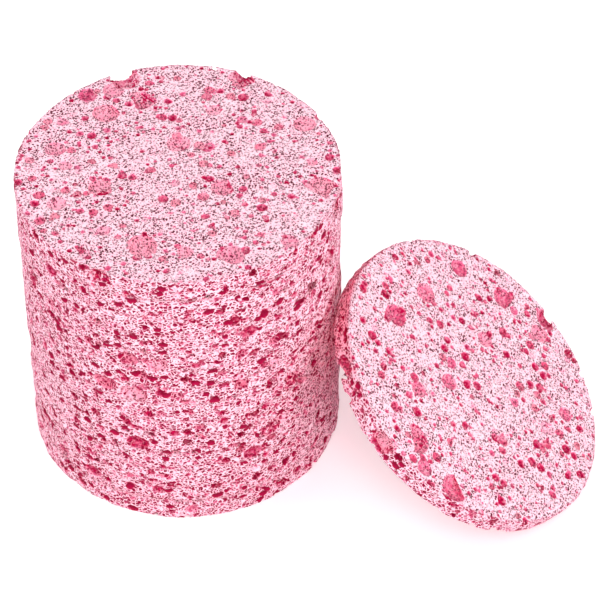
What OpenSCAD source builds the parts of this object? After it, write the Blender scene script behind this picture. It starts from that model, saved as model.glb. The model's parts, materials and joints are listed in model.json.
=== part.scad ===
// A set of round open-pored face sponges: a pile, and one more that leans on its side.
// Origin at the middle of the pile's underside, +Z up the pile, +X towards the leaning sponge.

/* [Sponge] */
// Diameter of one sponge
sponge_d = 65; // [50:0.5:90]
// Thickness of one sponge
sponge_t = 4.8; // [3.6:0.1:9]
// Radius of the worn edge round each face
edge_r = 0.35; // [0.2:0.05:0.7]

/* [Pile] */
// How many sponges lie in the pile
pile_count = 14; // [9:1:18]
// The furthest that a sponge in the pile may lie off its axis
pile_stray = 0.25; // [0:0.05:0.6]
// How much narrower than the widest a sponge in the pile may be cut
cut_spread = 0.4; // [0:0.05:1]

/* [Leaning sponge] */
// Angle between the leaning sponge and the table
lean_angle = 36.8; // [25:0.2:60]
// Gap between the leaning sponge and the furthest reach of the pile
lean_gap = 0.3; // [0.2:0.05:0.8]

/* [Open pores] */
// Radius of the smallest pore that is cut in a face
face_pore_r_min = 0.9; // [0.8:0.1:1.5]
// Radius of the widest pore that is cut in a face
face_pore_r_max = 2.9; // [1.6:0.1:3.4]
// Distance between pores across a face
face_pore_pitch = 12.5; // [10:0.5:20]
// Band round a face's edge that the middle of a face pore keeps out of
face_pore_margin = 4.5; // [4:0.1:8]
// Radius of the smallest pore that is cut in the wall
wall_pore_r_min = 0.6; // [0.5:0.05:1]
// Radius of the widest pore that is cut in the wall
wall_pore_r_max = 1.5; // [1:0.05:1.8]
// Distance between pores along the wall
wall_pore_pitch = 10; // [8:0.5:20]

/* [Hidden] */
$fn = 96;
sponge_r = sponge_d / 2;

// The golden angle spreads points evenly over a disc and never lines them up.
golden_angle = 137.508;
// How deep the flattest and the fullest pore are, as shares of the pore's radius.
flat_pore_share = 0.45;
full_pore_share = 0.85;
// The deepest that a face pore reaches, as a share of the thickness, so that pores of two faces never meet.
reach_share = 0.4;
// How far a pore may lie off its even place, as a share of the distance between pores.
jitter_share = 0.18;
// The spiral of face pores starts this many turns of the golden angle out, which leaves the middle of a face flat.
spiral_start = 1.5;

face_r = sponge_r - face_pore_margin;
face_pore_jitter = jitter_share * face_pore_pitch;
face_pore_count = floor(pow(2 * face_r / face_pore_pitch, 2));
wall_pore_count = floor(PI * sponge_d / wall_pore_pitch);

// The furthest that any sponge in the pile reaches from the axis.
pile_reach = sponge_r + pile_stray;
// The leaning sponge stands on the rounded edge of its lower face, and the far end of that edge nears the pile.
edge_centre_r = sponge_r - edge_r;
lean_x = pile_reach + lean_gap + edge_r + edge_centre_r * cos(lean_angle) - edge_r * sin(lean_angle);
lean_z = edge_r + edge_centre_r * sin(lean_angle) - edge_r * cos(lean_angle);

function two_digits(i) = i < 10 ? str("0", i) : str(i);
function pile_name(i) = str("pile_sponge_", two_digits(i));
leaning_name = "leaning_sponge";

// The ball that leaves a round pore of this radius and depth in the plane z = 0.
module pore(r, depth) {
    ball_r = (r * r + depth * depth) / (2 * depth);
    translate([0, 0, ball_r - depth])
        sphere(r = ball_r);
}

// Pores over one face: an even spiral with small shifts, and a size and a depth drawn for each.
module face_pores(seed) {
    sizes = rands(face_pore_r_min, face_pore_r_max, face_pore_count, seed);
    shifts = rands(-face_pore_jitter, face_pore_jitter, 2 * face_pore_count, seed + 1);
    fullness = rands(flat_pore_share, full_pore_share, face_pore_count, seed + 2);
    turn = rands(0, 360, 1, seed + 3)[0];
    for (k = [0 : face_pore_count - 1]) {
        spiral_share = sqrt((k + spiral_start) / (face_pore_count + spiral_start));
        rotate([0, 0, turn + k * golden_angle])
            translate([(face_r - face_pore_jitter) * spiral_share + shifts[2 * k], shifts[2 * k + 1], 0])
                pore(sizes[k], min(fullness[k] * sizes[k], reach_share * sponge_t));
    }
}

// Pores round the wall at any height of it, so that some break a face's edge.
module wall_pores(seed, r) {
    sizes = rands(wall_pore_r_min, wall_pore_r_max, wall_pore_count, seed);
    heights = rands(0, sponge_t, wall_pore_count, seed + 1);
    shifts = rands(-jitter_share, jitter_share, wall_pore_count, seed + 2);
    fullness = rands(flat_pore_share, full_pore_share, wall_pore_count, seed + 3);
    turn = rands(0, 360, 1, seed + 4)[0];
    for (k = [0 : wall_pore_count - 1])
        rotate([0, 0, turn + (k + shifts[k]) * 360 / wall_pore_count])
            translate([r, 0, heights[k]])
                rotate([0, 90, 0])
                    pore(sizes[k], fullness[k] * sizes[k]);
}

// The die-cut disc without its pores, standing on z = 0.
module disc(r) {
    rotate_extrude()
        union() {
            square([r - edge_r, sponge_t]);
            translate([0, edge_r])
                square([r, sponge_t - 2 * edge_r]);
            for (z = [edge_r, sponge_t - edge_r])
                translate([r - edge_r, z])
                    circle(r = edge_r);
        }
}

// One sponge, standing on z = 0. The seed sets its pores.
module sponge(r, seed) {
    difference() {
        disc(r);
        translate([0, 0, sponge_t])
            face_pores(seed);
        mirror([0, 0, 1])
            face_pores(seed + 10);
        wall_pores(seed + 20, r);
    }
}

// One sponge in its place in the pile, counted from the bottom. The lowest lies true on the axis.
module pile_sponge(i) {
    seed = 100 * i;
    narrower = i == 1 ? 0 : rands(0, cut_spread / 2, 1, seed + 40)[0];
    stray = i == 1 ? 0 : rands(0, pile_stray, 1, seed + 41)[0];
    bearing = rands(0, 360, 1, seed + 42)[0];
    color([0.96, i % 2 == 0 ? 0.68 : 0.7, 0.76])
        translate([stray * cos(bearing), stray * sin(bearing), (i - 1) * sponge_t])
            sponge(sponge_r - narrower, seed);
}

// The loose sponge: its rim stands on the table and its upper end leans towards the pile.
module leaning_sponge() {
    color([0.97, 0.72, 0.79])
        translate([lean_x, 0, lean_z])
            rotate([0, lean_angle, 0])
                sponge(sponge_r, 50);
}

for (i = [1 : pile_count])
    pile_sponge(i);
leaning_sponge();
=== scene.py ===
"""A pile of round open-pored face sponges with one more that leans on it.

Every sponge is a disc of foam that a Geometry Nodes tree carves from its bubbles. The places and the
sizes of the discs come from the frame.
"""

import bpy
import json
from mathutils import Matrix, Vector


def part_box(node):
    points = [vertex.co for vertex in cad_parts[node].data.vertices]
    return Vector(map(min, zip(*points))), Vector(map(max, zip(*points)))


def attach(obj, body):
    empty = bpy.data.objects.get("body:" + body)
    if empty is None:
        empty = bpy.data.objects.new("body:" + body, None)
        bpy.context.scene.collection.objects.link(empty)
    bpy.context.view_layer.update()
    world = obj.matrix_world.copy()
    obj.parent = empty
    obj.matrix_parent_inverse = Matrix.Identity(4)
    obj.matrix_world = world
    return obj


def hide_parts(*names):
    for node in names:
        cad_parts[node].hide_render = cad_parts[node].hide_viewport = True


bl_info = {
    "name": "Face sponge pile",
    "version": (1, 0, 0),
    "blender": (4, 5, 0),
    "location": "View3D > Sidebar > Sponges",
    "description": "Builds a pile of round foam sponges, a leaning one and their studio",
    "category": "Object",
}

import json
import math
from collections import namedtuple

import bpy
from bpy.props import FloatProperty, FloatVectorProperty, IntProperty, PointerProperty
from mathutils import Vector

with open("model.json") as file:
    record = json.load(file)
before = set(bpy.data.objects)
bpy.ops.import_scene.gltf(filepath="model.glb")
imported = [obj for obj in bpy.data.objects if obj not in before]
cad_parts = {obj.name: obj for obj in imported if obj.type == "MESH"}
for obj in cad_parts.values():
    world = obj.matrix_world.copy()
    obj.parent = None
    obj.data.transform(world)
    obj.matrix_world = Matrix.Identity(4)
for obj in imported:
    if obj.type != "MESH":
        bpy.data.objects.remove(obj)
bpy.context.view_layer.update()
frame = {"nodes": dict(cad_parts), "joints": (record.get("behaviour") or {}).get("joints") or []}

MM = 0.001
LEANING = "leaning_sponge"
PILE = sorted(name for name in frame["nodes"] if name != LEANING)
MIDDLE = (0.5, 0.5, 0.5)

# The foam's three layers of bubbles, the sizes that each has, and how red its cells run
BUBBLE_LAYERS = ("wide", "middle", "fine")
LAYER_SIZES = ("apart", "least", "most", "share", "opening")
TONE_RANGES = {"wide": (-0.9, 0.6), "middle": (-0.4, 2.0), "fine": (0.3, 1.9)}
LAYER_SEED_STEP = 10.0
BUBBLE_RANDOMNESS = 0.9
SMALL_BUBBLE_POWER = 1.7
LEANING_GRAIN_SHIFT = (0.2, 0.1, 0.05)

# The grid that the foam is carved on, in its own steps
GRID_MARGIN = 3.0
DENSITY_LIMIT = 3.0
SKIN_STEPS = 0.7

# Noises: how often one changes in a metre, and its detail
Noise = namedtuple("Noise", "scale detail")
WAVER_NOISE = Noise(200.0, 4.0)
WARP_NOISE = Noise(600.0, 2.0)
PATCH_NOISE = Noise(350.0, 3.0)
BEND_NOISE = Noise(900.0, 1.0)
FIBRE_NOISE = Noise(1400.0, 2.0)

# Pores too small to carve. Their apart counts in pinholes_apart, their radii and struts in that apart
Spots = namedtuple("Spots", "apart flatness least most seed blur share", defaults=(0.15, 1.0))
# DOTS and SPECKS are painted in the pinhole colour, as painted shade in holes too small to carve
DOTS = Spots(0.75, 0.85, 0.16, 0.44, 57.0)
SPECKS = Spots(0.48, 0.85, 0.18, 0.44, 83.0)
WALL_CELLS = Spots(3.6, 0.75, 0.06, 0.4, 71.0, blur=0.1)
DIMPLES = Spots(2.6, 0.8, 0.1, 0.48, 23.0, blur=0.06, share=0.8)
FILMS = Spots(5.0, 0.75, 0.2, 0.46, 11.0, blur=0.05, share=0.8)
Net = namedtuple("Net", "apart flatness share strut seed")
# The nets' holes take the pinhole colour too, as painted shade
WIDE_NET = Net(1.0, 0.75, 0.95, 0.1, 0.0)
FINE_NET = Net(0.6, 0.8, 0.3, 0.12, 31.0)

# The nets: how strong the fine one is, how far both bend, how soft their edges are and how cells pale, with
# painted shade that darkens each cell towards its top
FINE_NET_STRENGTH = 0.8
NET_BEND = 0.9 * MM
NET_OPEN_EDGE = (0.95, 1.05)
STRUT_EDGE = (0.8, 1.2)
PAINTED_SHADE_AT_TOP = -0.6

# Lengths over which the finish changes, and the height of its relief
RIM_FADE = 0.4 * MM
CELL_STARTS = 0.03 * MM
CELL_FULL = 0.12 * MM
BUMP_HEIGHT = 0.2 * MM

# Where the flesh starts to turn deep, in flesh_depth, and where the bounce has paled, in bounce_reach
DEEP_STARTS = 0.5
BOUNCE_FADE = 2.5

# How much redder the wall is, how much each tint shows, and what cells add to the dots' strength
WALL_RED = 0.5
FILM_TINT = 0.5
DIMPLE_TINT = 0.9
# Painted shade: the wall's pinholes pinker, for the deeper pink of its shaded sides
WALL_PINHOLE_PINK = 0.4
DOTS_IN_RED_CELLS = -0.35
DOTS_IN_CELLS = -0.1

# Ramps: the range that a value is carried from, and the range that it is carried to
Ramp = namedtuple("Ramp", "low high to_low to_high", defaults=(0.0, 1.0))
BRIM = Ramp(0.02, 0.05, 1.0, 0.0)
LIP = Ramp(0.02 * MM, 0.22 * MM, 1.0, 0.0)
BROKEN_BRIMS = Ramp(0.35, 0.6, 0.1, 0.8)
DOT_STRUTS = Ramp(0.02, 0.14, 1.0, 0.0)
PATCHY_DOTS = Ramp(0.35, 0.55, 0.6, 1.0)
PATCH_EDGE = (0.35, 0.65)
PALE_HOLES = Ramp(0.6, 1.0, 0.0, 0.5)
MOTTLE = Ramp(0.3, 0.7, 0.5, 1.5)
FLESH_IN_RED_CELLS = Ramp(0.0, 0.5, 0.35, 1.0)
FLESH_IN_WALL = Ramp(0.0, 1.0, 1.0, 0.6)
# Painted shade: a wall cell is dark at the top and deep pink below, as under light from above
CELL_SHADE = Ramp(0.2, -0.3)
BOUNCE_IN_CELL = Ramp(1.5 * MM, 5.0 * MM, 0.35, 1.0)

# The studio: where each lamp stands, seen from what the camera looks at, and its fixed sizes
LAMPS = {"key": (0.22, -0.62, 0.75), "right": (0.8, -0.58, 0.12), "left": (-0.95, -0.35, 0.18)}
LAMP_SIZE = 0.3
LAMP_DISTANCE = 0.8
SENSOR_WIDTH = 36.0
CLIP_START = 0.01
FLOOR_HALF = 3.0
FLOOR_GLOW = 0.3
WHITE = (1, 1, 1, 1)


def length(name, description, default):
    """A length setting in metres, with enough digits for pores."""
    return FloatProperty(name=name, description=description, default=default, unit="LENGTH", precision=5)


def share(name, description, default):
    """A setting between nothing and all."""
    return FloatProperty(
        name=name, description=description, default=default, min=0, max=1, subtype="FACTOR"
    )


def power(name, description, default):
    """A lamp's power."""
    return FloatProperty(name=name, description=description, default=default, unit="POWER")


def angle(name, description, degrees):
    """An angle setting, given in degrees."""
    return FloatProperty(
        name=name, description=description, default=math.radians(degrees), subtype="ANGLE"
    )


def linear(shown):
    """The light in one channel that a screen shows as this share of full light."""
    return shown / 12.92 if shown <= 0.04045 else ((shown + 0.055) / 1.055) ** 2.4


def colour(name, description, red, green, blue):
    """A colour setting, given as a screen shows it."""
    default = (linear(red), linear(green), linear(blue))
    return FloatVectorProperty(
        name=name, description=description, default=default, min=0, max=1, subtype="COLOR"
    )


class SpongeFoamSettings(bpy.types.PropertyGroup):
    """Sizes of the foam's bubbles and of the cut."""

    wide_apart: length("Wide bubbles apart", "Distance between wide bubbles", 5.8 * MM)
    wide_least: length("Wide bubbles' least radius", "Radius of the smallest wide bubble", 1.2 * MM)
    wide_most: length("Wide bubbles' most radius", "Radius of the largest wide bubble", 3.2 * MM)
    wide_share: share("Wide bubbles' share", "Share of the places that hold a wide bubble", 0.65)
    wide_opening: share("Wide bubbles' opening", "How far under the cut a wide bubble's centre may lie", 0.1)
    middle_apart: length("Middle bubbles apart", "Distance between middle bubbles", 2.4 * MM)
    middle_least: length("Middle bubbles' least radius", "Radius of the smallest middle bubble", 0.45 * MM)
    middle_most: length("Middle bubbles' most radius", "Radius of the largest middle bubble", 1.2 * MM)
    middle_share: share("Middle bubbles' share", "Share of the places that hold a middle bubble", 0.62)
    middle_opening: share(
        "Middle bubbles' opening", "How far under the cut a middle bubble's centre may lie", 0.75
    )
    fine_apart: length("Fine bubbles apart", "Distance between fine bubbles", 1.15 * MM)
    fine_least: length("Fine bubbles' least radius", "Radius of the smallest fine bubble", 0.3 * MM)
    fine_most: length("Fine bubbles' most radius", "Radius of the largest fine bubble", 0.58 * MM)
    fine_share: share("Fine bubbles' share", "Share of the places that hold a fine bubble", 0.4)
    fine_opening: share("Fine bubbles' opening", "How far under the cut a fine bubble's centre may lie", 0.6)
    flatness: share("Flatness", "Height of a bubble as a share of its width", 0.75)
    warp: length("Warp", "How far bubbles are pushed out of round", 0.45 * MM)
    notch: length("Notch", "How deep a bubble may notch the edge of a sponge", 0.7 * MM)
    face_notch: length("Notch by a shown face", "The same for the two sponges that show a face", 0.95 * MM)
    carve_depth: length("Carved depth", "How deep under the cut the foam is carved", 2.1 * MM)
    edge: length("Edge radius", "Rounding of the edge round each face", 0.18 * MM)
    waver: length("Waver of the cut", "How far the cut wall wavers in and out", 1.0 * MM)
    grid: length("Grid", "Distance between points of the grid that the foam is carved on", 0.31 * MM)
    fine_grid: length("Fine grid", "The same for the two sponges that show a face", 0.24 * MM)
    coarsening: share("Coarsening", "How much flat stretches of the mesh are thinned", 0.08)
    seed: IntProperty(name="Seed", description="Picks the bubbles", default=7)


class SpongeFinishSettings(bpy.types.PropertyGroup):
    """Colours and pinholes of the foam."""

    ridge: colour("Ridge", "Colour of the thin struts", 1.0, 0.9, 0.94)
    skin: colour("Skin", "Colour of the cut surface", 1.0, 0.785, 0.85)
    flesh: colour("Flesh", "Colour just under the cut surface", 0.96, 0.45, 0.62)
    # Partly painted shade: pores turn darker and redder the deeper they go
    deep: colour("Deep", "Colour at the bottom of deep pores", 0.7, 0.0, 0.26)
    # Painted shade: the upper side of a wall cell, darkened as under light from above
    dark: colour("Dark", "Colour of the shaded side of a pore", 0.52, 0.01, 0.18)
    # Painted shade: the dark colour of holes too small to carve
    pinhole: colour("Pinhole", "Colour of the pinholes", 0.36, 0.01, 0.14)
    bounce: colour("Bounce", "Colour of the light that the foam throws on itself", 1.0, 0.26, 0.5)
    bounce_reach: length("Bounce reach", "How far such light goes before it pales", 12.0 * MM)
    flesh_depth: length("Flesh depth", "Depth at which the skin has turned to flesh", 0.14 * MM)
    deep_depth: length("Deep depth", "Depth at which the flesh has turned deep", 0.4 * MM)
    pinholes_apart: length("Pinholes apart", "Distance between the wider pinholes", 0.8 * MM)
    wall_struts: share("Wall struts", "How much of the ridge shows on struts in the wall", 0.7)
    face_struts: share("Face struts", "How much of the ridge shows on struts in a face", 0.7)
    # Painted shade: the wall's skin pinker than a face, for the deeper pink of its shaded sides
    wall_tint: share("Wall tint", "How much of the flesh shows in the skin of the wall", 0.24)
    patch_tint: share("Patch tint", "How much of the flesh shows in patches of the skin", 0.35)
    roughness: share("Roughness", "Roughness of the foam", 0.9)
    shine: share("Shine", "Strength of the foam's reflections", 0.15)
    relief: share("Relief", "Strength of the relief of the pinholes", 0.8)


class SpongeStudioSettings(bpy.types.PropertyGroup):
    """Camera, lights and floor."""

    azimuth: angle("Azimuth", "Bearing that the camera looks from, counted from straight in front", 13.7)
    elevation: angle("Elevation", "Height angle of the camera", 44.6)
    distance: length("Distance", "From the camera to what it looks at", 546.2 * MM)
    aim: FloatVectorProperty(
        name="Aim",
        description="The point that the camera looks at",
        default=(23.42 * MM, 5.71 * MM, 31.07 * MM),
        subtype="TRANSLATION",
        unit="LENGTH",
        precision=5,
    )
    lens: FloatProperty(name="Lens", description="Focal length", default=158.3, unit="CAMERA")
    world_light: FloatProperty(
        name="World light", description="Strength of the light from all round", default=0.98
    )
    key_light: power("Key light", "Power of the lamp above", 1.75)
    right_light: power("Right light", "Power of the lamp on the right", 2.1)
    left_light: power("Left light", "Power of the lamp on the left", 1.6)
    floor: share("Floor", "Lightness of the floor", 0.9)


class Wiring:
    """Adds nodes to a tree and joins their sockets."""

    def __init__(self, tree):
        self.tree = tree

    def plug(self, socket, value):
        """Links a socket to another, or sets its value."""
        if isinstance(value, bpy.types.NodeSocket):
            self.tree.links.new(value, socket)
        else:
            socket.default_value = value

    def add(self, kind, inputs=None, **settings):
        """A node of this kind, its settings set and its inputs plugged by name or number."""
        made = self.tree.nodes.new(kind)
        for name, value in settings.items():
            setattr(made, name, value)
        for key, value in (inputs or {}).items():
            self.plug(made.inputs[key], value)
        return made

    def math(self, operation, *values, use_clamp=False):
        inputs = dict(enumerate(values))
        return self.add("ShaderNodeMath", inputs, operation=operation, use_clamp=use_clamp).outputs[0]

    def times(self, first, *others):
        """The product of two or more values."""
        for other in others:
            first = self.math("MULTIPLY", first, other)
        return first

    def most(self, first, *others):
        """The greatest of two or more values."""
        for other in others:
            first = self.math("MAXIMUM", first, other)
        return first

    def rest(self, value):
        """What a value leaves of 1."""
        return self.math("SUBTRACT", 1.0, value)

    def vector(self, operation, *values):
        made = self.add("ShaderNodeVectorMath", dict(enumerate(values)), operation=operation)
        return made.outputs["Value" if operation == "LENGTH" else "Vector"]

    def ramp(self, value, low, high, to_low=0.0, to_high=1.0):
        """The value carried from one range to another, and held at its ends."""
        inputs = {"Value": value, "From Min": low, "From Max": high, "To Min": to_low, "To Max": to_high}
        return self.add("ShaderNodeMapRange", inputs).outputs["Result"]

    def join(self, x=0.0, y=0.0, z=0.0):
        """A vector of three values."""
        return self.add("ShaderNodeCombineXYZ", {0: x, 1: y, 2: z}).outputs[0]

    def split(self, vector):
        """The three values of a vector, by name."""
        return self.add("ShaderNodeSeparateXYZ", {0: vector}).outputs

    def triple(self, value):
        """A vector of one value three times."""
        return self.join(value, value, value)

    def noise(self, place, kind):
        """A noise at this place, as Fac and as Color."""
        inputs = {"Vector": place, "Scale": kind.scale, "Detail": kind.detail}
        return self.add("ShaderNodeTexNoise", inputs).outputs

    def choose(self, factor, a, b):
        """A number between two."""
        return self.add("ShaderNodeMix", {0: factor, 2: a, 3: b}, data_type="FLOAT").outputs[0]

    def blend(self, factor, a, b):
        """A colour between two."""
        inputs = {"Factor_Float": factor, "A_Color": a, "B_Color": b}
        made = self.add("ShaderNodeMix", data_type="RGBA")
        for socket in made.inputs:
            if socket.identifier in inputs:
                self.plug(socket, inputs[socket.identifier])
        return next(s for s in made.outputs if s.identifier == "Result_Color")

    def looked_at(self):
        """1 where the camera looks, also by way of gloss or glass."""
        path = self.add("ShaderNodeLightPath").outputs
        return self.most(path["Is Camera Ray"], path["Is Glossy Ray"], path["Is Transmission Ray"])


def new_group(name, inputs, outputs):
    """An empty Geometry Nodes group. Returns its wiring, its inputs by name and its outputs."""
    tree = bpy.data.node_groups.new(name, "GeometryNodeTree")
    for socket_name, kind in inputs:
        tree.interface.new_socket(socket_name, in_out="INPUT", socket_type="NodeSocket" + kind)
    for socket_name, kind in outputs:
        tree.interface.new_socket(socket_name, in_out="OUTPUT", socket_type="NodeSocket" + kind)
    wiring = Wiring(tree)
    given = {socket.name: socket for socket in wiring.add("NodeGroupInput").outputs if socket.name}
    return wiring, given, wiring.add("NodeGroupOutput").inputs


def bubble_group():
    """The distance from a point to the nearest open bubble of one layer, below nothing inside the bubble.

    All lengths are in the stretched grain, where bubbles are round. A bubble is open if its centre lies
    less than a share of its radius under the disc's surface. The others are left out, so that no hidden
    hollow is carved.
    """
    numbers = ("Apart", "Least", "Most", "Share", "Opening", "Seed", "Radius", "Thickness", "Notch")
    w, given, result = new_group(
        "Bubbles",
        [("Grain", "Vector"), ("Shift", "Vector")] + [(name, "Float") for name in numbers],
        [("Distance", "Float"), ("Tone", "Float")],
    )
    apart = w.triple(given["Apart"])
    seed = w.triple(given["Seed"])
    seeded = w.vector("ADD", w.vector("DIVIDE", given["Grain"], apart), seed)
    pattern = {"Vector": seeded, "Scale": 1.0, "Randomness": BUBBLE_RANDOMNESS}
    voronoi = w.add("ShaderNodeTexVoronoi", pattern).outputs
    drawn = w.add("FunctionNodeSeparateColor", {0: voronoi["Color"]}).outputs
    drawn_size = w.math("POWER", drawn["Red"], SMALL_BUBBLE_POWER)
    radius = w.ramp(drawn_size, 0.0, 1.0, given["Least"], given["Most"])

    centre = w.vector("MULTIPLY", w.vector("SUBTRACT", voronoi["Position"], seed), apart)
    local = w.split(w.vector("SUBTRACT", centre, given["Shift"]))
    out = w.vector("LENGTH", w.join(local["X"], local["Y"]))
    under_faces = w.math("MINIMUM", local["Z"], w.math("SUBTRACT", given["Thickness"], local["Z"]))
    under_wall = w.math("SUBTRACT", given["Radius"], out)
    under = w.math("MINIMUM", under_faces, under_wall)
    sunk = w.math("GREATER_THAN", under, w.times(radius, given["Opening"]))
    from_corner = w.most(under_faces, under_wall)
    notching = w.math("LESS_THAN", from_corner, w.math("SUBTRACT", radius, given["Notch"]))
    spared = w.math("GREATER_THAN", drawn["Green"], given["Share"])
    absent = w.most(sunk, notching, spared)

    from_centre = w.times(voronoi["Distance"], given["Apart"])
    from_bubble = w.math("SUBTRACT", from_centre, radius)
    away = w.times(absent, w.times(given["Most"], 2.0))
    w.plug(result["Distance"], w.math("ADD", from_bubble, away))
    w.plug(result["Tone"], drawn["Blue"])
    return w.tree


def disc_distance(w, place, grain, given):
    """How far a point lies outside the disc without bubbles, and how far from the disc's axis."""
    along = w.split(place)
    out = w.vector("LENGTH", w.join(along["X"], along["Y"]))
    drift = w.math("SUBTRACT", w.noise(grain, WAVER_NOISE)["Fac"], 0.5)
    half = w.times(given["Thickness"], 0.5)
    past_round = w.math("SUBTRACT", out, w.math("SUBTRACT", given["Radius"], given["Edge"]))
    past_wall = w.math("ADD", past_round, w.times(drift, given["Waver"]))
    from_middle = w.math("ABSOLUTE", w.math("SUBTRACT", along["Z"], half))
    past_face = w.math("SUBTRACT", from_middle, w.math("SUBTRACT", half, given["Edge"]))
    corner = w.join(w.most(past_wall, 0.0), w.most(past_face, 0.0))
    inside = w.math("MINIMUM", w.most(past_wall, past_face), 0.0)
    rounded = w.math("ADD", w.vector("LENGTH", corner), inside)
    return w.math("SUBTRACT", rounded, given["Edge"]), out


def nearest_bubble(w, grain, given):
    """The distance from a point to the nearest open bubble of all layers, and that bubble's tone."""
    stretch = w.join(1.0, 1.0, w.math("DIVIDE", 1.0, given["Flatness"]))
    round_grain = w.vector("MULTIPLY", grain, stretch)
    drift = w.vector("SUBTRACT", w.noise(round_grain, WARP_NOISE)["Color"], MIDDLE)
    push = w.vector("MULTIPLY", drift, w.triple(given["Warp"]))
    shared = {
        "Grain": w.vector("ADD", round_grain, push),
        "Shift": w.vector("MULTIPLY", given["Grain shift"], stretch),
        "Radius": given["Radius"],
        "Thickness": w.math("DIVIDE", given["Thickness"], given["Flatness"]),
        "Notch": given["Notch"],
    }
    bubbles = bubble_group()
    nearest = None
    for number, layer in enumerate(BUBBLE_LAYERS):
        inputs = {what.capitalize(): given[f"{layer.capitalize()} {what}"] for what in LAYER_SIZES}
        inputs["Seed"] = w.math("ADD", given["Seed"], LAYER_SEED_STEP * number)
        one = w.add("GeometryNodeGroup", node_tree=bubbles)
        for key, value in (inputs | shared).items():
            w.plug(one.inputs[key], value)
        distance = one.outputs["Distance"]
        layer_tone = w.ramp(one.outputs["Tone"], 0.0, 1.0, *TONE_RANGES[layer])
        if nearest is None:
            nearest = distance
            tone = layer_tone
        else:
            tone = w.choose(w.math("LESS_THAN", distance, nearest), tone, layer_tone)
            nearest = w.math("MINIMUM", nearest, distance)
    return nearest, tone


def grid_mesh(w, foam, given):
    """The surface of the foam, carved on a grid round the disc."""
    density = w.math("DIVIDE", w.times(foam, -1.0), given["Grid"])
    margin = w.times(given["Grid"], GRID_MARGIN)
    reach = w.math("ADD", given["Radius"], margin)
    back = w.times(reach, -1.0)
    across = w.math("DIVIDE", w.times(reach, 2.0), given["Grid"])
    up = w.math("DIVIDE", w.math("MULTIPLY_ADD", margin, 2.0, given["Thickness"]), given["Grid"])
    block = {
        "Density": w.math("MINIMUM", w.most(density, -DENSITY_LIMIT), DENSITY_LIMIT),
        "Background": -DENSITY_LIMIT,
        "Min": w.join(back, back, w.times(margin, -1.0)),
        "Max": w.join(reach, reach, w.math("ADD", given["Thickness"], margin)),
        "Resolution X": across,
        "Resolution Y": across,
        "Resolution Z": up,
    }
    volume = w.add("GeometryNodeVolumeCube", block).outputs[0]
    surface = {"Volume": volume, "Threshold": 0.0, "Adaptivity": given["Coarsening"]}
    return w.add("GeometryNodeVolumeToMesh", surface).outputs[0]


def open_surface(w, mesh, depth, given):
    """The mesh without the islands that don't reach the skin."""
    island = w.add("GeometryNodeInputMeshIsland").outputs["Island Index"]
    at_skin = w.math("LESS_THAN", depth, w.times(given["Grid"], SKIN_STEPS))
    counted = w.add("GeometryNodeAccumulateField", {"Value": at_skin, "Group Index": island})
    hidden = w.math("LESS_THAN", counted.outputs["Total"], 0.5)
    return w.add("GeometryNodeDeleteGeometry", {"Geometry": mesh, "Selection": hidden}).outputs[0]


def foam_tree():
    """Carves a disc of foam: bubbles of three widths are taken out of the disc, down to a solid core."""
    inputs = [
        ("Geometry", "Geometry"),
        ("Radius", "Float"),
        ("Thickness", "Float"),
        ("Edge", "Float"),
        ("Waver", "Float"),
        ("Grain shift", "Vector"),
        ("Flatness", "Float"),
        ("Carved depth", "Float"),
        ("Warp", "Float"),
        ("Notch", "Float"),
        ("Grid", "Float"),
        ("Coarsening", "Float"),
        ("Seed", "Float"),
        ("Place", "Vector"),
        ("Tilt", "Float"),
        ("Foam", "Material"),
    ]
    inputs += [(f"{layer.capitalize()} {what}", "Float") for layer in BUBBLE_LAYERS for what in LAYER_SIZES]
    w, given, result = new_group("Foam disc", inputs, [("Geometry", "Geometry")])
    place = w.add("GeometryNodeInputPosition").outputs[0]
    grain = w.vector("ADD", place, given["Grain shift"])
    disc, out = disc_distance(w, place, grain, given)
    cells, tone = nearest_bubble(w, grain, given)
    depth = w.times(disc, -1.0)
    carved = w.most(disc, w.times(cells, -1.0))
    core = w.math("ADD", disc, given["Carved depth"])
    mesh = grid_mesh(w, w.math("MINIMUM", carved, core), given)
    kept = open_surface(w, mesh, depth, given)

    inwards = w.math("SUBTRACT", given["Radius"], out)
    height = w.split(place)["Z"]
    under_face = w.math("MINIMUM", height, w.math("SUBTRACT", given["Thickness"], height))
    rim = w.ramp(w.math("SUBTRACT", under_face, inwards), -RIM_FADE, 0.0)
    notes = {"depth": depth, "grain": grain, "tone": tone, "rim": rim, "lip": cells}
    for name, value in notes.items():
        kind = "FLOAT_VECTOR" if name == "grain" else "FLOAT"
        note = {"Geometry": kept, "Name": name, "Value": value}
        kept = w.add("GeometryNodeStoreNamedAttribute", note, data_type=kind).outputs[0]
    move = {"Geometry": kept, "Translation": given["Place"], "Rotation": w.join(y=given["Tilt"])}
    turned = w.add("GeometryNodeTransform", move).outputs[0]
    smooth = w.add("GeometryNodeSetShadeSmooth", {"Geometry": turned}).outputs[0]
    real = w.add("GeometryNodeRealizeInstances", {"Geometry": smooth}).outputs[0]
    done = w.add("GeometryNodeSetMaterial", {"Geometry": real, "Material": given["Foam"]}).outputs[0]
    w.plug(result["Geometry"], done)
    return w.tree


def grain_cells(w, grain, finish, kind, feature):
    """A cell pattern that lies fixed in the foam, and the place in it."""
    apart = kind.apart * finish.pinholes_apart
    place = w.vector("MULTIPLY", grain, (1 / apart, 1 / apart, 1 / (apart * kind.flatness)))
    shifted = w.vector("ADD", place, (kind.seed, kind.seed, kind.seed))
    return w.add("ShaderNodeTexVoronoi", {"Vector": shifted, "Scale": 1.0}, feature=feature).outputs, shifted


def height_in_cell(w, cell, shifted):
    """How high a point lies over the middle of its cell."""
    return w.split(w.vector("SUBTRACT", shifted, cell["Position"]))["Z"]


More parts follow.
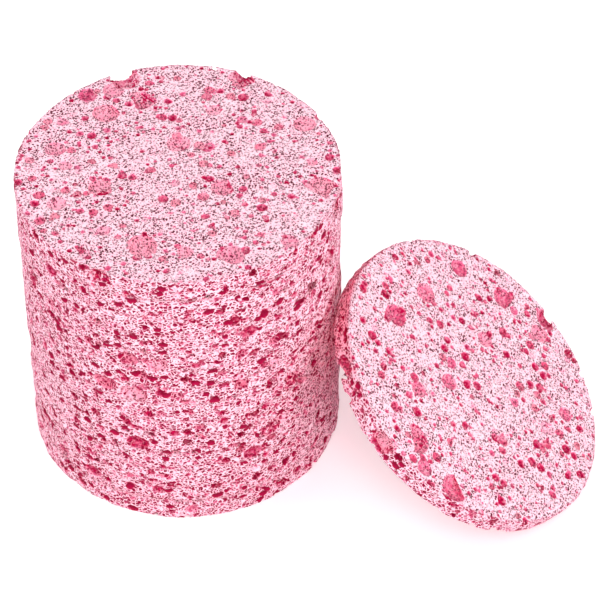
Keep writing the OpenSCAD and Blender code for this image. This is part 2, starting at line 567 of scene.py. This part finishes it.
def spots(w, grain, finish, kind):
    """Round holes that lie apart. Returns 1 in a hole, 1 on its brim, the height in it and its shade."""
    cell, shifted = grain_cells(w, grain, finish, kind, "F1")
    drawn = w.add("ShaderNodeSeparateColor", {0: cell["Color"]}).outputs
    radius = w.ramp(drawn["Red"], 0.0, 1.0, kind.least, kind.most)
    sharp = w.times(radius, 1.0 - kind.blur)
    soft = w.times(radius, 1.0 + kind.blur)
    held = w.math("LESS_THAN", drawn["Green"], kind.share)
    hole = w.times(held, w.ramp(cell["Distance"], sharp, soft, 1.0, 0.0))
    off_brim = w.math("ABSOLUTE", w.math("SUBTRACT", cell["Distance"], radius))
    brim = w.times(held, w.ramp(off_brim, *BRIM))
    return hole, brim, height_in_cell(w, cell, shifted), drawn["Blue"]


def net(w, grain, finish, kind):
    """Cells between thin struts. Returns 1 in an open cell, 1 on a strut's back and how pale a cell is, by
    random tone and painted shade.
    """
    cell, shifted = grain_cells(w, grain, finish, kind, "F1")
    side, _ = grain_cells(w, grain, finish, kind, "DISTANCE_TO_EDGE")
    drawn = w.add("ShaderNodeSeparateColor", {0: cell["Color"]}).outputs
    opened = w.ramp(drawn["Red"], *(edge - kind.share for edge in NET_OPEN_EDGE))
    strut = w.math("MULTIPLY_ADD", drawn["Green"], kind.strut, kind.strut)
    hole = w.ramp(side["Distance"], *(w.times(strut, edge) for edge in STRUT_EDGE))
    back = w.ramp(side["Distance"], 0.0, kind.strut, 1.0, 0.0)
    up = height_in_cell(w, cell, shifted)
    # Painted shade: a cell is paler low down and darker at the top, as under light from above
    pale = w.math("MULTIPLY_ADD", up, PAINTED_SHADE_AT_TOP, w.ramp(drawn["Blue"], *PALE_HOLES), use_clamp=True)
    return w.times(hole, opened), back, pale


def opaque(paint):
    """A colour setting, as a socket takes it."""
    return (*paint, 1)


class FoamPaint:
    """The foam's colour: pale where it was cut, deep pink inside, dotted with pinholes; painted shade darkens
    pores.
    """

    def __init__(self, w, finish):
        self.w = w
        self.finish = finish
        self.depth, self.tone, self.rim, self.lip = (
            w.add("ShaderNodeAttribute", attribute_name=name).outputs["Fac"]
            for name in ("depth", "tone", "rim", "lip")
        )
        self.grain = w.add("ShaderNodeAttribute", attribute_name="grain").outputs["Vector"]
        drift = w.vector("SUBTRACT", w.noise(self.grain, BEND_NOISE)["Color"], MIDDLE)
        bend = w.vector("MULTIPLY", drift, (NET_BEND, NET_BEND, NET_BEND))
        self.bent_grain = w.vector("ADD", self.grain, bend)
        self.patches = w.noise(self.grain, PATCH_NOISE)["Fac"]
        self.fibre = w.noise(self.grain, FIBRE_NOISE)["Fac"]
        self.on_face = w.rest(self.rim)
        self.in_cell = w.ramp(self.depth, CELL_STARTS, CELL_FULL)
        self.red = w.math("MULTIPLY_ADD", self.rim, WALL_RED, self.tone, use_clamp=True)

    def wall_net(self):
        """The wall's net. Returns 1 in its holes, how pale each is by random tone and painted shade, and how
        much its struts show.
        """
        w = self.w
        wide, wide_backs, pale = net(w, self.bent_grain, self.finish, WIDE_NET)
        fine, fine_backs, _ = net(w, self.bent_grain, self.finish, FINE_NET)
        holes = w.most(wide, w.times(fine, FINE_NET_STRENGTH))
        struts = w.times(w.most(wide_backs, fine_backs), self.rim, self.finish.wall_struts)
        return holes, pale, struts

    def face_dots(self):
        """A face's dots and specks. Returns 1 in them, and how much the struts between dots show."""
        w = self.w
        dots = spots(w, self.grain, self.finish, DOTS)[0]
        specks = spots(w, self.grain, self.finish, SPECKS)[0]
        holes = w.times(w.most(dots, specks), w.ramp(self.patches, *PATCHY_DOTS))
        side, _ = grain_cells(w, self.grain, self.finish, DOTS, "DISTANCE_TO_EDGE")
        struts = w.times(w.ramp(side["Distance"], *DOT_STRUTS), self.on_face, self.finish.face_struts)
        return holes, struts

    def cut_surface(self, struts):
        """The skin with its patches, films and dimples, and over them the brims and these struts."""
        w = self.w
        finish = self.finish
        dimples, dimple_brim, _, dimple_shade = spots(w, self.grain, finish, DIMPLES)
        films, film_brim, _, film_shade = spots(w, self.grain, finish, FILMS)
        film_tint = w.times(films, film_shade, FILM_TINT)
        dimple_tint = w.times(dimples, self.on_face, dimple_shade, DIMPLE_TINT)
        patchy = w.ramp(self.patches, *PATCH_EDGE, 0.0, finish.patch_tint)
        # Painted shade: the wall's skin is tinted pinker than a face
        skin_tint = w.math("MULTIPLY_ADD", self.rim, finish.wall_tint, patchy)
        tint = w.most(film_tint, dimple_tint, skin_tint)
        patched = w.blend(tint, opaque(finish.skin), opaque(finish.flesh))

        lips = w.times(w.ramp(self.lip, *LIP), w.rest(self.in_cell))
        brims = w.most(film_brim, w.times(dimple_brim, self.on_face), lips)
        broken_brims = w.times(brims, w.ramp(self.fibre, *BROKEN_BRIMS))
        return w.blend(w.most(struts, broken_brims), patched, opaque(finish.ridge))

    def inside_cells(self, surface):
        """The surface, turned to flesh and then deep pink with its depth in a cell: partly the foam's own
        pinker inside, partly painted shade.
        """
        w = self.w
        finish = self.finish
        mottle = w.ramp(self.fibre, *MOTTLE)
        under = w.ramp(self.depth, CELL_STARTS, finish.flesh_depth)
        fleshy = w.times(under, w.ramp(self.red, *FLESH_IN_RED_CELLS), w.ramp(self.rim, *FLESH_IN_WALL))
        # Painted shade: the colour turns deep crimson further down a pore
        sunk = w.ramp(self.depth, DEEP_STARTS * finish.flesh_depth, finish.deep_depth)
        mottled = w.math("MULTIPLY", fleshy, mottle, use_clamp=True)
        deepened = w.math("MULTIPLY", w.times(sunk, self.red), mottle, use_clamp=True)
        return w.blend(deepened, w.blend(mottled, surface, opaque(finish.flesh)), opaque(finish.deep))

    def pinholes(self, wall_holes, face_holes):
        """1 in the pinholes. Those of a face are fainter inside its cells."""
        w = self.w
        lost = w.math("MULTIPLY_ADD", self.red, DOTS_IN_RED_CELLS, DOTS_IN_CELLS)
        cell_dots = w.math("MULTIPLY_ADD", self.in_cell, lost, 1.0)
        return w.times(w.choose(self.rim, face_holes, wall_holes), w.choose(self.rim, cell_dots, 1.0))

    def pierced(self, body, holes, pale):
        """The body with its pinholes, and with the wall's round cells, which get painted shade at the top."""
        w = self.w
        finish = self.finish
        pink = w.times(self.rim, WALL_PINHOLE_PINK)
        # Painted shade: pinholes take the dark pinhole colour, pinker on the wall
        pinhole = w.blend(pink, opaque(finish.pinhole), opaque(finish.deep))
        inner = w.blend(w.times(self.rim, pale), pinhole, opaque(finish.flesh))
        cells, _, up, _ = spots(w, self.bent_grain, finish, WALL_CELLS)
        # Painted shade: dark at the top of each wall cell, deep pink lower down
        shaded = w.blend(w.ramp(up, *CELL_SHADE), opaque(finish.dark), opaque(finish.deep))
        return w.blend(w.times(cells, self.rim), w.blend(holes, body, inner), shaded)

    def bounced(self, paint):
        """The paint. Light that the foam throws on itself over a short way comes out deep pink."""
        w = self.w
        path = w.add("ShaderNodeLightPath").outputs
        reach = self.finish.bounce_reach
        out_of_cell = w.ramp(path["Ray Length"], *BOUNCE_IN_CELL)
        near = w.ramp(path["Ray Length"], reach, BOUNCE_FADE * reach, 1.0, 0.0)
        thrown = w.times(path["Is Diffuse Ray"], out_of_cell, near)
        return w.blend(thrown, paint, opaque(self.finish.bounce))

    def colour_and_holes(self):
        """The foam's colour, and 1 in its pinholes."""
        wall_holes, pale, wall_struts = self.wall_net()
        face_holes, face_struts = self.face_dots()
        body = self.inside_cells(self.cut_surface(self.w.most(wall_struts, face_struts)))
        holes = self.pinholes(wall_holes, face_holes)
        return self.bounced(self.pierced(body, holes, pale)), holes


def new_material(name):
    """A material without nodes, and its wiring."""
    material = bpy.data.materials.new(name)
    material.use_nodes = True
    material.node_tree.nodes.clear()
    return material, Wiring(material.node_tree)


def foam_material():
    """The foam's matte material."""
    finish = bpy.context.scene.sponge_finish
    material, w = new_material("pink_foam")
    paint, holes = FoamPaint(w, finish).colour_and_holes()
    pits = {"Strength": finish.relief, "Distance": BUMP_HEIGHT, "Height": w.rest(holes)}
    matte = {
        "Base Color": paint,
        "Roughness": finish.roughness,
        "Specular IOR Level": finish.shine,
        "Normal": w.add("ShaderNodeBump", pits).outputs[0],
    }
    shader = w.add("ShaderNodeBsdfPrincipled", matte)
    w.add("ShaderNodeOutputMaterial", {"Surface": shader.outputs[0]})
    return material


def foam_disc(name, radius, thickness, place, tilt, shift, shown):
    """One sponge as a plain mesh, with its place in the mesh. It is finer where its face is shown."""
    foam = bpy.context.scene.sponge_foam
    tree = bpy.data.node_groups.get("Foam disc") or foam_tree()
    seeded = bpy.data.objects.new(name + "_seed", bpy.data.meshes.new(name + "_seed"))
    bpy.context.collection.objects.link(seeded)
    modifier = seeded.modifiers.new("Foam", "NODES")
    modifier.node_group = tree
    values = {
        "Radius": radius,
        "Thickness": thickness,
        "Edge": foam.edge,
        "Waver": foam.waver,
        "Grain shift": shift,
        "Flatness": foam.flatness,
        "Carved depth": foam.carve_depth,
        "Warp": foam.warp,
        "Notch": foam.face_notch if shown else foam.notch,
        "Grid": foam.fine_grid if shown else foam.grid,
        "Coarsening": foam.coarsening,
        "Seed": float(foam.seed),
        "Place": place,
        "Tilt": tilt,
        "Foam": bpy.data.materials.get("pink_foam") or foam_material(),
    }
    for layer in BUBBLE_LAYERS:
        for what in LAYER_SIZES:
            values[f"{layer.capitalize()} {what}"] = getattr(foam, f"{layer}_{what}")
    for item in tree.interface.items_tree:
        if item.in_out == "INPUT" and item.name in values:
            modifier[item.identifier] = values[item.name]
    evaluated = seeded.evaluated_get(bpy.context.evaluated_depsgraph_get())
    mesh = bpy.data.meshes.new_from_object(evaluated)
    bpy.data.objects.remove(seeded)
    if not mesh.polygons:
        raise RuntimeError(f"{name} came out empty")
    mesh.name = name
    piece = bpy.data.objects.new(name, mesh)
    bpy.context.collection.objects.link(piece)
    return piece


def stand_in_frame(piece, node):
    """Tells the frame what a sponge stands for."""
    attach(piece, node)
    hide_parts(node)


class SPONGE_OT_pile(bpy.types.Operator):
    """Cut the piled sponges from one block of foam"""

    bl_idname = "sponge.pile"
    bl_label = "Pile"

    def execute(self, context):
        for node in PILE:
            low, high = (Vector(corner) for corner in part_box(node))
            middle = (low + high) / 2
            place = (middle.x, middle.y, low.z)
            radius = (high.x - low.x) / 2
            name = node.replace("sponge", "foam")
            piece = foam_disc(name, radius, high.z - low.z, place, 0.0, place, node == PILE[-1])
            stand_in_frame(piece, node)
        return {"FINISHED"}


class SPONGE_OT_leaning(bpy.types.Operator):
    """Cut the sponge that leans on the pile"""

    bl_idname = "sponge.leaning"
    bl_label = "Leaning sponge"

    def execute(self, context):
        low, high = (Vector(corner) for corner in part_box(LEANING))
        axis = next(Vector(joint["axis"]) for joint in frame["joints"] if joint["child"] == LEANING)
        base_low, base_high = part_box(PILE[0])
        thickness = base_high[2] - base_low[2]
        place = (low + high) / 2 - axis.normalized() * thickness / 2
        radius = (high.y - low.y) / 2
        tilt = math.atan2(axis.x, axis.z)
        piece = foam_disc("leaning_foam", radius, thickness, tuple(place), tilt, LEANING_GRAIN_SHIFT, True)
        stand_in_frame(piece, LEANING)
        return {"FINISHED"}


class SPONGE_OT_studio(bpy.types.Operator):
    """Set the camera, the lights and the floor"""

    bl_idname = "sponge.studio"
    bl_label = "Studio"

    def execute(self, context):
        studio = context.scene.sponge_studio
        self.camera(context, studio)
        self.world(context, studio)
        for name, direction in LAMPS.items():
            self.lamp(context, studio, name, Vector(direction).normalized())
        self.floor(context, studio)
        context.scene.view_settings.view_transform = "Standard"
        return {"FINISHED"}

    def camera(self, context, studio):
        """The camera, at its bearing, height angle and distance from what it looks at."""
        data = bpy.data.cameras.new("camera")
        data.lens = studio.lens
        data.sensor_width = SENSOR_WIDTH
        data.clip_start = CLIP_START
        camera = bpy.data.objects.new("camera", data)
        level = math.cos(studio.elevation)
        back = Vector(
            (math.sin(studio.azimuth) * level, -math.cos(studio.azimuth) * level, math.sin(studio.elevation))
        )
        camera.location = Vector(studio.aim) + back * studio.distance
        camera.rotation_euler = back.to_track_quat("Z", "Y").to_euler()
        context.collection.objects.link(camera)
        context.scene.camera = camera

    def world(self, context, studio):
        """Even light from all round, and plain white where the camera sees it."""
        world = bpy.data.worlds.new("studio")
        world.use_nodes = True
        world.node_tree.nodes.clear()
        w = Wiring(world.node_tree)
        light = w.add("ShaderNodeBackground", {"Color": WHITE, "Strength": studio.world_light})
        shown = w.add("ShaderNodeBackground", {"Color": WHITE, "Strength": 1.0})
        mixed = w.add("ShaderNodeMixShader", {0: w.looked_at(), 1: light.outputs[0], 2: shown.outputs[0]})
        w.add("ShaderNodeOutputWorld", {"Surface": mixed.outputs[0]})
        context.scene.world = world

    def lamp(self, context, studio, name, towards):
        """A wide round lamp that shines on the sponges from this direction."""
        data = bpy.data.lights.new(name, "AREA")
        data.shape = "DISK"
        data.size = LAMP_SIZE
        data.energy = getattr(studio, name + "_light")
        lamp = bpy.data.objects.new(name, data)
        lamp.location = Vector(studio.aim) + towards * LAMP_DISTANCE
        lamp.rotation_euler = towards.to_track_quat("Z", "Y").to_euler()
        lamp.visible_camera = False
        context.collection.objects.link(lamp)

    def floor(self, context, studio):
        """A pale floor that shows white where no shadow lies."""
        mesh = bpy.data.meshes.new("floor")
        low, high = -FLOOR_HALF, FLOOR_HALF
        mesh.from_pydata([(low, low, 0), (high, low, 0), (high, high, 0), (low, high, 0)], [], [(0, 1, 2, 3)])
        floor = bpy.data.objects.new("floor", mesh)
        context.collection.objects.link(floor)
        material, w = new_material("floor")
        paint = w.add("ShaderNodeBsdfDiffuse", {"Color": opaque((studio.floor, studio.floor, studio.floor))})
        glow = w.add("ShaderNodeEmission", {"Color": WHITE, "Strength": w.times(w.looked_at(), FLOOR_GLOW)})
        both = w.add("ShaderNodeAddShader", {0: paint.outputs[0], 1: glow.outputs[0]})
        w.add("ShaderNodeOutputMaterial", {"Surface": both.outputs[0]})
        mesh.materials.append(material)


class SPONGE_PT_panel(bpy.types.Panel):
    """The steps that build the sponges"""

    bl_label = "Sponges"
    bl_space_type = "VIEW_3D"
    bl_region_type = "UI"
    bl_category = "Sponges"

    def draw(self, context):
        for operator in OPERATORS:
            self.layout.operator(operator.bl_idname)


SETTINGS = {
    "sponge_foam": SpongeFoamSettings,
    "sponge_finish": SpongeFinishSettings,
    "sponge_studio": SpongeStudioSettings,
}
OPERATORS = (SPONGE_OT_studio, SPONGE_OT_pile, SPONGE_OT_leaning)
CLASSES = (*SETTINGS.values(), *OPERATORS, SPONGE_PT_panel)


def register():
    for one in CLASSES:
        bpy.utils.register_class(one)
    for name, group in SETTINGS.items():
        setattr(bpy.types.Scene, name, PointerProperty(type=group))


def unregister():
    for name in SETTINGS:
        delattr(bpy.types.Scene, name)
    for one in reversed(CLASSES):
        bpy.utils.unregister_class(one)


def main():
    register()
    bpy.ops.sponge.studio()
    bpy.ops.sponge.pile()
    bpy.ops.sponge.leaning()


if __name__ == "__main__":
    main()
